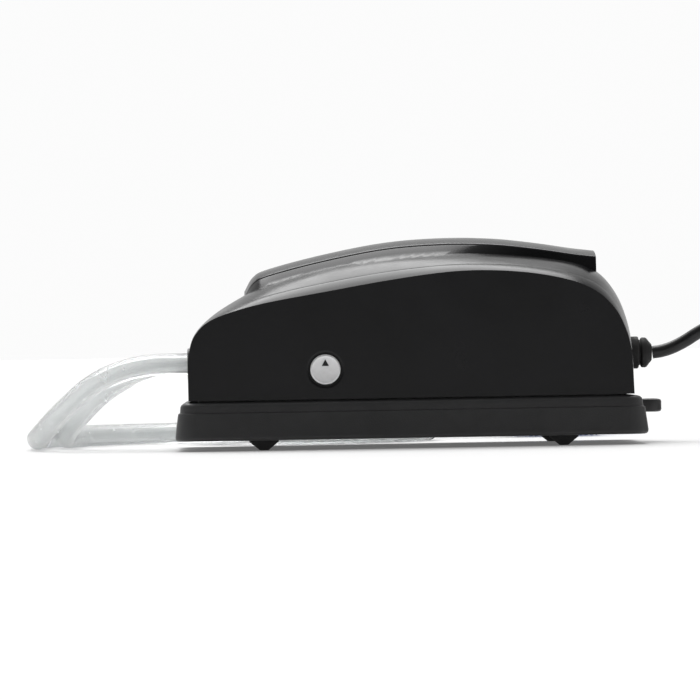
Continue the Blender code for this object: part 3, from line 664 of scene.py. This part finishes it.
def hanging_lug():
    """A flat tongue with a slot, rounded at its outer corners and along its edges."""
    root, centre, half, corner = 57.5, 61.5, 8.0, 3.5
    tip = box_mm("base_tray")[1].x
    outline = [(root, -half)]
    for side in (-1, 1):
        for k in range(13):
            angle = pi / 24 * (k if side > 0 else k - 12)
            outline.append((tip - corner + corner * cos(angle),
                            side * (half - corner) + corner * sin(angle)))
    outline.append((root, half))
    loops = []
    edges = ((0.12, 8.4), (0.03, 8.6), (0.0, 9.1), (0.0, 11.3), (0.03, 11.8), (0.12, 12.0))
    for shrink, z in edges:
        kept = 1 - shrink
        loops.append([(centre + (x - centre) * kept, y * kept, z) for x, y in outline])
    lug = loft("lug_form", loops, None)
    slot = rounded_rectangle(64.0, 67.0, 4.0, 1.45, 8)
    cut = loft("slot_form", [[(x, y, z) for x, y in slot] for z in (7, 14)], None)
    combine(lug, cut, "DIFFERENCE")
    return lug


def rubber_feet():
    """Each foot is a soft cone with a worn, rounded tip, a flange and a stem through the floor."""
    for number, (x, y) in enumerate(FEET, 1):
        profile = [(0.2, 0.0), (1.0, 0.0), (1.35, 0.12), (1.7, 0.45), (3.5, 1.9), (3.95, 2.25),
                   (4.1, 2.6), (4.1, 2.9), (1.5, 2.95), (1.5, 5.1), (2.7, 5.1), (2.5, 5.6),
                   (1.2, 7.2)]
        foot = turned(f"foot_{number}", profile, (x, y, 0), "z", SURFACES["rubber"], segments=56)
        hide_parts(f"rubber_foot_{number}")


def filter_cover():
    """A round clip-in disc with a row of slits, each as long as the disc allows."""
    low, high = box_mm("filter_cover")
    x0, y0 = (low.x + high.x) / 2, (low.y + high.y) / 2
    profile = [(11.6, 2.85), (12.1, 2.9), (12.5, 3.15), (12.6, 3.5), (12.6, 4.4)]
    cover = turned("filter_grille", profile, (x0, y0, 0), "z", SURFACES["black_plastic"])
    for i in range(FILTER_SLITS):
        y = FILTER_SLIT_PITCH * (i - FILTER_SLITS // 2)
        half = sqrt(11.0 ** 2 - y ** 2) - 1.5
        outline = rounded_rectangle(x0 - half, x0 + half, 0.75, 0.7, 5)
        slit = loft("slit_form", [[(x, y0 + y + v, z) for x, v in outline] for z in (2, 5)], None)
        combine(cover, slit, "DIFFERENCE")
    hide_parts("filter_cover")


# ---------------------------------------------------------------- flow knob

def flow_knob():
    """A disc with a raised edge, a painted pointer, and an open recess below it for a grip."""
    low, high = box_mm("flow_knob")
    x, z = (low.x + high.x) / 2, (low.z + high.z) / 2
    face = -SHELL_HALF_DEPTH
    profile = [(1.3, 0.3), (KNOB_R - 0.1, 0.3), (KNOB_R, 0.2), (KNOB_R, -0.55),
               (KNOB_R - 0.08, -0.75), (KNOB_R - 0.25, -0.88), (3.7, -0.92), (3.5, -0.86),
               (3.35, -0.84), (0.05, -0.84)]
    knob = turned("knob_disc", profile, (x, face, z), "y", SURFACES["silver"], "flow_knob", 96)
    pointer = [(-1.05, 0.9), (1.05, 0.9), (0.0, 2.9)]
    grip = [(2.2 * cos(a), -2.3 + 1.9 * sin(a)) for a in (pi * k / 14 for k in range(1, 14))]
    grip += [(1.65 * cos(a), -2.3 + 1.35 * sin(a)) for a in (pi * k / 14 for k in range(13, 0, -1))]
    for outline in (pointer, grip):
        rows = [[(x + u, y, z + v) for u, v in outline] for y in (face - 2, face - 0.5)]
        combine(knob, loft("mark_form", rows, None), "DIFFERENCE")
    middle_u = sum(u for u, v in pointer) / len(pointer)
    middle_v = sum(v for u, v in pointer) / len(pointer)
    inside = [(middle_u + (u - middle_u) * 0.9, middle_v + (v - middle_v) * 0.9)
              for u, v in pointer]
    rows = [[(x + u, y, z + v) for u, v in inside] for y in (face - 0.72, face - 0.52)]
    fill = loft("pointer_mark", rows, soft_rubber("black_paint_fill", 0.02), "flow_knob")
    knob.data.shade_smooth()
    knob.data.set_sharp_from_angle(angle=radians(26))
    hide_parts("flow_knob")


# ---------------------------------------------------------------- leads and hoses

LEAD_D = 3.6
HOSE_D = 6.0
HOSE_BORE = 4.0
LEAD_COIL = (124.0, 17.6)
HOSE_COIL = (-28.0, 77.0)
HOSE_LOW = 3.1      # centreline height of a hose on the floor
HOSE_CLIMB = 6.5    # and how far it rises to cross another
LEAD_SPACING = 0.9  # between the sections of a swept lead, and of a hose
HOSE_SPACING = 1.2
STRAP_THICK = 0.55
STRAP_HALF_WIDTH = 1.6
STRAP_ROOM = 0.7    # from the turns it holds to its outer face
STRAP_CORNER = 2.2

# Routes between the ends of each lead or hose and its coil, as centreline points.
LEAD_ROUTE = [(66.6, 0, 25.0), (69, -0.1, 25.3), (72, -0.6, 26.2), (75.5, -1.4, 27.9),
              (79.5, -2.8, 30.4), (84, -4.5, 32.7), (89.4, -6.6, 33.8), (94.0, -8.2, 33.3),
              (98.1, -9.3, 31.5),
              (101.7, -9.9, 28.5), (104.5, -10, 24.7), (106.1, -10, 20.3), (106.8, -10, 15.6),
              (108.4, -10, 11.4), (111.2, -10, 7.4), (114.8, -10, 4.4), (119.2, -10, 2.5)]
LEAD_TAIL = [(109.8, -5.1, 9.4), (115.0, -7.2, 9.45), (120.6, -8.0, 9.5), (126.5, -7.4, 9.6),
             (133.2, -5.0, 10.1), (138.8, -0.3, 11.2), (142.4, 6.4, 12.8), (143.6, 13.2, 14.1),
             (143.6, 19.0, 14.4)]
HOSE_ROUTES = {
    "front": [(-60, -11, 23.8), (-67, -11, 24.0), (-75, -10.8, 23.7), (-83, -9.6, 21.9),
              (-90.5, -6.5, 18.3), (-97.2, -1, 12.8), (-102.8, 8, 7.6), (-106.2, 20, 4.2),
              (-107.6, 34, 3.15), (-107.4, 51, 3.1), (-104.2, 68, 3.1), (-97, 84, 3.1),
              (-85.4, 97.6, 3.1), (-72.6, 105.4, 3.1), (-60.5, 109.6, 3.1), (-48.5, 111.0, 3.1),
              (-38, 110.7, 3.1)],
    "rear": [(-60, 11, 23.8), (-67, 11, 23.8), (-74.4, 11.9, 22.8), (-81.8, 14.3, 20.1),
             (-88.6, 18.6, 15.8), (-94.2, 25, 10.6), (-98.2, 33.6, 6.2), (-99.9, 43, 3.7),
             (-99.4, 54, 3.1), (-96, 66, 3.1), (-89.6, 78, 3.1), (-80.4, 88.6, 3.1),
             (-70.2, 96.2, 3.1), (-60, 100.8, 3.1), (-49.5, 103.5, 3.1), (-38.5, 104.2, 3.1)],
}
HOSE_TAILS = {
    "front": [(-46.7, 104.5, 9.6), (-40.6, 107.9, 9.6), (-33.2, 110.5, 9.6), (-23, 113.1, 9.6),
              (-12, 115.6, 9.2), (-1, 118.4, 8.0), (9, 121.0, 7.2), (17, 122.6, 7.05),
              (24, 123.2, 7.05)],
    "rear": [(-42.6, 99.7, 9.6), (-37, 102.5, 9.6), (-30.6, 104.2, 9.6), (-22, 105.2, 9.6),
             (-12, 105.7, 9.6), (-1, 106.0, 9.3), (9, 106.3, 8.0), (18, 106.5, 7.2),
             (27, 106.6, 7.05)],
}
HOSE_COIL_R = {"rear": 26.9, "front": 33.2}


def lead_coil():
    """Two layers: inwards on the floor, up at the middle, outwards on top, then up again."""
    pitch, outer, floor = 3.63, 27.6, 1.85
    start, turns, climb, steps = radians(270), 3.5, 0.708, 20
    inner = outer - turns * pitch
    points = []
    for k in range(int(turns * steps)):
        turn = k / steps
        points.append((start + 2 * pi * turn, outer - pitch * turn, floor))
    here = start + 2 * pi * turns
    for k in range(14):
        share = k / 14
        points.append((here + 2 * pi * climb * share, inner, floor + pitch * ease(share)))
    here += 2 * pi * climb
    for k in range(int(turns * steps) + 1):
        turn = k / steps
        points.append((here + 2 * pi * turn, inner + pitch * turn, floor + pitch))
    here += 2 * pi * turns
    for k in range(1, 5):
        share = k / 4
        points.append((here + radians(62) * share, outer - 1.2 * ease(share * 1.5 - 0.5),
                       floor + pitch * (1 + 1.05 * ease(share * 1.15))))
    return [(LEAD_COIL[0] + r * cos(a), LEAD_COIL[1] + r * sin(a), z) for a, r, z in points]


def hose_coil(strand):
    """Seven eighths of a turn to the right.

    Its last two fifths climb, so that the tail passes over the strand that led in.
    """
    radius = HOSE_COIL_R[strand]
    start, total, steps = radians(90), radians(314), 24
    points = []
    for k in range(steps + 1):
        share = k / steps
        angle = start - total * share
        z = HOSE_LOW + HOSE_CLIMB * ease((share - 0.58) / 0.4)
        points.append((HOSE_COIL[0] + radius * cos(angle), HOSE_COIL[1] + radius * sin(angle), z))
    return points


def evenly(points, spacing):
    """The same line, read again at points an even distance apart."""
    runs = [0.0]
    for a, b in zip(points, points[1:]):
        runs.append(runs[-1] + (b - a).length)
    count = max(2, round(runs[-1] / spacing))
    even = []
    i = 0
    for k in range(count + 1):
        goal = runs[-1] * k / count
        while i < len(runs) - 2 and runs[i + 1] < goal:
            i += 1
        share = (goal - runs[i]) / (runs[i + 1] - runs[i])
        even.append(points[i].lerp(points[i + 1], min(max(share, 0.0), 1.0)))
    return even


def round_sweep(name, line, radius, surface, bore=0.0, sides=28):
    """A round tube along a line, hollow if it has a bore, with its ends closed."""
    tangents = []
    for i in range(len(line)):
        tangents.append((line[min(i + 1, len(line) - 1)] - line[max(i - 1, 0)]).normalized())
    side = tangents[0].orthogonal().normalized()
    frames = []
    for i, tangent in enumerate(tangents):
        side = (side - tangent * side.dot(tangent)).normalized()
        frames.append((line[i], side, tangent.cross(side)))

    def ring(place, u, v, r):
        angles = [2 * pi * k / sides for k in range(sides)]
        return [place + (u * cos(a) + v * sin(a)) * r for a in angles]

    outer = [ring(*f, radius) for f in frames]
    if not bore:
        return loft(name, outer, surface, smooth=pi / 4)
    return closed_rows(name, outer + [ring(*f, bore) for f in reversed(frames)], surface)


def closed_rows(name, rows, surface):
    """A solid through rows of equal length, closed on itself both ways."""
    count = len(rows[0])
    faces = []
    for row in range(len(rows)):
        here, there = row * count, (row + 1) % len(rows) * count
        for k in range(count):
            n = (k + 1) % count
            faces.append((here + k, here + n, there + n, there + k))
    return piece(name, [p for row in rows for p in row], faces, surface, smooth=pi / 4)


def tie(name, coil, angle, inner, outer, top):
    """A narrow nylon strap round all the turns of a coil, with a small locking head."""
    direction = Vector((cos(angle), sin(angle), 0))
    along = Vector((-sin(angle), cos(angle), 0))
    centre = Vector((*coil, 0))
    half = top / 2 + 0.3
    rows = []
    for thick in (0.0, STRAP_THICK):
        outline = rounded_rectangle(inner - STRAP_ROOM + thick, outer + STRAP_ROOM - thick,
                                    half - thick, STRAP_CORNER - thick, 6)
        rows.append([(r, half + z) for r, z in outline])
    sections = []
    for (r0, z0), (r1, z1) in zip(*rows):
        corners = ((r0, z0, -STRAP_HALF_WIDTH), (r0, z0, STRAP_HALF_WIDTH),
                   (r1, z1, STRAP_HALF_WIDTH), (r1, z1, -STRAP_HALF_WIDTH))
        sections.append([centre + direction * r + along * w + Vector((0, 0, z))
                         for r, z, w in corners])
    strap = closed_rows(name, sections, SURFACES["black_plastic"])
    middle = (inner + outer) / 2
    loops = []
    for r, w, low, high in ((-2.4, 1.5, 0.6, 1.6), (-2.1, 2.1, 0.1, 2.1), (1.9, 2.1, 0.1, 2.1),
                            (2.2, 1.8, 0.3, 1.9), (3.0, 1.6, 0.5, 1.1), (7.0, 1.5, 0.5, 1.0)):
        corners = ((-w, low), (w, low), (w, high), (-w, high))
        place = centre + direction * (middle + r)
        loops.append([place + along * a + Vector((0, 0, 2 * half + b - 0.3)) for a, b in corners])
    head = loft(f"{name}_head", loops, SURFACES["black_plastic"])
    return [strap, head]


def mains_lead():
    """The lead from the strain relief through its coil to the plug, as one swept cord."""
    route = LEAD_ROUTE + lead_coil() + LEAD_TAIL
    line = evenly(smooth_through(route, 10), LEAD_SPACING)
    lead = round_sweep("flex_lead", line, LEAD_D / 2, LEAD_SURFACE, sides=20)
    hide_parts("mains_lead", "mains_lead_coil", "mains_lead_end")
    extras = [plug_body(), *(frame["nodes"][f"plug_blade_{n}"] for n in (1, 2))]
    extras += tie("lead_tie", LEAD_COIL, radians(118), 12.7, 29.5, 7.5)


def plug_body():
    """A compact moulded plug whose back tapers into a ribbed neck round the lead."""
    low, high = box_mm("plug_body")
    x, back, z = (low.x + high.x) / 2, low.y, (low.z + high.z) / 2
    width, thick, length = (high.x - low.x) / 2, (high.z - low.z) / 2, high.y - low.y
    stations = [(0.0, 2.5, 2.5)]
    for k in range(4):
        at = 0.5 + 1.5 * k
        ridge = (2.7 + 0.15 * k, 2.65 + 0.12 * k)
        groove = (2.3 + 0.15 * k, 2.3 + 0.12 * k)
        stations += [(at, *ridge), (at + 0.75, *ridge), (at + 0.8, *groove), (at + 1.4, *groove)]
    stations += [(6.7, 4.6, 3.6), (7.2, 6.6, 4.6), (8.2, 8.6, 5.4), (10.0, 10.4, 6.0),
                 (12.5, 11.6, 6.35), (15.5, 11.4, 6.1), (19.0, 11.3, 6.0), (22.5, 11.9, 6.3),
                 (25.0, width, thick),
                 (length - 0.9, width, thick), (length - 0.25, width - 0.25, thick - 0.25),
                 (length, width - 0.9, thick - 0.9)]
    loops = []
    for along, half_width, half_thick in stations:
        corner = 0.8 * min(half_thick, 4.4)
        outline = rounded_rectangle(-half_width, half_width, half_thick, corner, 8)
        loops.append([(x + a, back + along, z + b) for a, b in outline])
    plug = loft("plug_moulding", loops, SURFACES["rubber"], smooth=radians(34))
    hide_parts("plug_body")
    return plug


def air_hoses():
    """Each hose from its outlet through its turn behind the pump to its air stone."""
    for number, strand in enumerate(("front", "rear"), 1):
        route = HOSE_ROUTES[strand] + hose_coil(strand) + HOSE_TAILS[strand]
        line = evenly(smooth_through(route, 10), HOSE_SPACING)
        hose = round_sweep(f"clear_hose_{number}", line, HOSE_D / 2, SURFACES["clear_hose"],
                           HOSE_BORE / 2, 32)
        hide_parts(f"air_hose_{number}", f"air_hose_coil_{number}", f"air_hose_end_{number}")
        extras = air_stone(number, Vector(HOSE_TAILS[strand][-1]))
        if strand == "front":
            extras += tie("hose_tie", HOSE_COIL, radians(12), 23.8, 36.3, 6.2)


def air_stone(number, tip):
    """A bonded mineral cylinder, roughened all over, on a plastic cap with a hose nipple."""
    surface = SURFACES["black_plastic"]
    profile = [(1.6, -2.6), (1.95, -2.0), (1.95, 5.0), (4.4, 5.2), (5.9, 5.5), (6.5, 6.0),
               (6.7, 6.6), (6.7, 8.6)]
    cap = turned(f"stone_cap_{number}", profile, tip, "x", surface)
    rows, around = 56, 84
    start, end, radius, widest = 8.7, 31.8, 6.9, 6.98
    loops = []
    for i in range(rows + 1):
        distance = start + (end - start) * i / rows
        edge = min(distance - start, end - distance)
        even = radius - 1.1 * max(0.0, 1 - edge / 1.2) ** 2
        loop = []
        for k in range(around):
            angle = 2 * pi * k / around
            grain = sin(17.3 * i + 8.67 * k) * cos(9.7 * k + 6.27 * i + number)
            r = min(even + 0.16 * grain - 0.1, widest)
            loop.append(tip + Vector((distance, r * cos(angle), r * sin(angle))))
        loops.append(loop)
    stone = loft(f"stone_{number}", loops, SURFACES["blue_stone"], smooth=pi / 2)
    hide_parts(f"air_stone_{number}")
    return [stone, cap]


def strain_relief():
    """The short stepped rubber gland that the lead leaves through."""
    profile = [(3.3, 51.0), (4.4, 51.0), (4.4, 52.8), (3.3, 53.2), (3.3, 60.1), (4.3, 60.3),
               (4.5, 60.5), (4.5, 62.3), (4.35, 62.55), (3.8, 62.7), (3.5, 62.9), (3.5, 63.1),
               (4.0, 63.3), (4.2, 63.6), (4.2, 64.5), (4.0, 64.9), (3.1, 65.6), (2.3, 66.3)]
    gland = turned("lead_gland", profile, (0, 0, GLAND_Z), "x", SURFACES["rubber"])
    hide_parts("strain_relief")


# ---------------------------------------------------------------- studio

BACKDROP_LEVEL = 0.97           # brightness of the surroundings as seen, also through clear pieces
FRONT_LEVEL, REAR_LEVEL = 0.1, 0.75     # and of the light they give, from the front and the rear


def studio():
    """A white floor with no visible far edge, soft light above and behind, and a dim front."""
    bpy.context.scene.view_settings.view_transform = "Standard"
    floor_surface = Shader("pale_floor", (0.86, 0.86, 0.86), 0.6)
    floor_surface.set("Specular IOR Level", 0.2)
    floor_surface.tint(floor_surface.noise(3, 2), (0.84, 0.84, 0.84), (0.86, 0.86, 0.86))
    floor_surface.set("Emission Color", (1, 1, 1, 1)).set("Emission Strength", 0.12)
    mesh = bpy.data.meshes.new("floor")
    reach = 30.0
    corners = [(-reach, -reach, 0), (reach, -reach, 0), (reach, reach, 0), (-reach, reach, 0)]
    mesh.from_pydata(corners, [], [(0, 1, 2, 3)])
    mesh.materials.append(floor_surface.material)
    floor = bpy.data.objects.new("floor", mesh)
    bpy.context.collection.objects.link(floor)

    world = bpy.data.worlds.new("studio")
    bpy.context.scene.world = world
    world.use_nodes = True
    nodes, links = world.node_tree.nodes, world.node_tree.links
    background = nodes["Background"]
    background.inputs["Color"].default_value = (1.0, 1.0, 1.0, 1.0)
    place = nodes.new("ShaderNodeTexCoord")
    parts = nodes.new("ShaderNodeSeparateXYZ")
    links.new(place.outputs["Generated"], parts.inputs["Vector"])
    level = nodes.new("ShaderNodeMapRange")
    level.inputs["From Min"].default_value = -1.0
    level.inputs["From Max"].default_value = 1.0
    level.inputs["To Min"].default_value = FRONT_LEVEL
    level.inputs["To Max"].default_value = REAR_LEVEL
    links.new(parts.outputs["Y"], level.inputs["Value"])
    seen = nodes.new("ShaderNodeLightPath")
    direct = nodes.new("ShaderNodeMath")
    direct.operation = "MAXIMUM"
    links.new(seen.outputs["Is Camera Ray"], direct.inputs[0])
    links.new(seen.outputs["Is Transmission Ray"], direct.inputs[1])
    choice = nodes.new("ShaderNodeMix")
    links.new(direct.outputs[0], choice.inputs["Factor"])
    links.new(level.outputs["Result"], choice.inputs["A"])
    choice.inputs["B"].default_value = BACKDROP_LEVEL
    links.new(choice.outputs["Result"], background.inputs["Strength"])

    light = bpy.data.lights.new("overhead_softbox", "SUN")
    light.energy = 2.25
    light.angle = radians(52)
    made = bpy.data.objects.new("overhead_softbox", light)
    made.rotation_euler = (radians(-28), radians(-8), 0)
    bpy.context.collection.objects.link(made)


def camera():
    """Looks level at the flow-knob side, a little from the outlet end, from a long way off."""
    middle = Vector((-18.2, 0.0, 27.1)) * MM
    distance, turn, tilt, width = 1.4, radians(1.0), radians(1.0), 191.5 * MM
    data = bpy.data.cameras.new("camera")
    data.sensor_width = 36
    data.lens = 36 * (distance - SHELL_HALF_DEPTH * MM) / width
    made = bpy.data.objects.new("camera", data)
    back = Vector((-sin(turn), -cos(turn), 0))
    made.location = middle + back * distance
    aim = (-back).to_track_quat("-Z", "Y").to_matrix()
    made.rotation_euler = (aim @ Matrix.Rotation(-tilt, 3, "Z")).to_euler()
    bpy.context.collection.objects.link(made)
    bpy.context.scene.camera = made


dress_frame()
camera()
mains_lead()
air_hoses()
upper_shell()
base_tray()
rubber_feet()
filter_cover()
flow_knob()
strain_relief()
studio()
